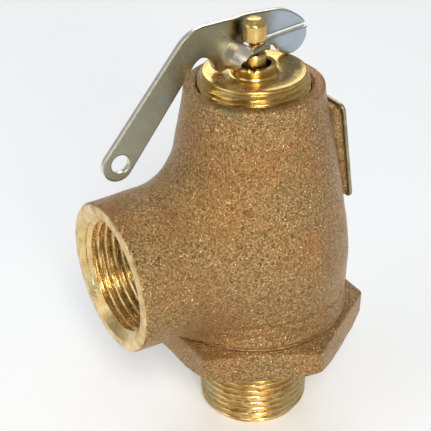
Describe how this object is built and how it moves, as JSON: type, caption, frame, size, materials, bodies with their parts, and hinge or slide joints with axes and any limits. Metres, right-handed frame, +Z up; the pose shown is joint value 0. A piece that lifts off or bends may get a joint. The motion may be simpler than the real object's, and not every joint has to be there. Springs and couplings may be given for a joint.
{
  "type": "pressure relief valve",
  "caption": "Cast bronze pressure relief valve with a male inlet thread, a threaded side outlet, a spring-loaded disc and a hand lever that lifts it for testing.",
  "frame": {"origin": "centre of the inlet thread's bottom end, on the valve axis", "axes": "+Z up along the stem, -X out of the side outlet, lever in the X-Z plane"},
  "size_m": [0.0605, 0.0526, 0.0995],
  "materials": {
    "cast_bronze": "sand-cast bronze, matt, brown-gold",
    "turned_brass": "polished",
    "zinc_steel": "zinc plated, slightly iridescent",
    "spring_steel": "drawn wire",
    "plate_metal": "thin stamped plate, no lettering",
    "seat_polymer": "white seat plastic",
    "gasket_metal": "soft copper alloy ring"
  },
  "bodies": {
    "valve": {"body": "cast_bronze", "inlet_base": "cast_bronze", "base_gasket": "gasket_metal", "adjusting_plug": "turned_brass", "upper_spring_washer": "zinc_steel", "nameplate": "plate_metal", "nameplate_screw_top": "zinc_steel", "nameplate_screw_bottom": "zinc_steel", "spring": "spring_steel"},
    "lift": {"stem": "turned_brass", "stem_pin": "zinc_steel", "disc_holder": "turned_brass", "seat_insert": "seat_polymer", "insert_screw": "zinc_steel", "lower_spring_washer": "zinc_steel"},
    "lever": {"lever": "zinc_steel"}
  },
  "joints": [
    {"name": "lever_rock", "type": "hinge", "parent": "valve", "child": "lever", "pos_m": [0.0108, 0.003, 0.0923], "axis": [0, 1, 0], "range_deg": [0, 10.5]},
    {"name": "stem_lift", "type": "slide", "parent": "valve", "child": "lift", "axis": [0, 0, 1], "range_m": [0, 0.0021], "stiffness_N_per_m": 20000, "springref_m": -0.004, "deforming": ["spring"]}
  ],
  "couplings": [
    {"joint": "lever_rock", "follows": "stem_lift", "rad_per_m": 86.4}
  ]
}
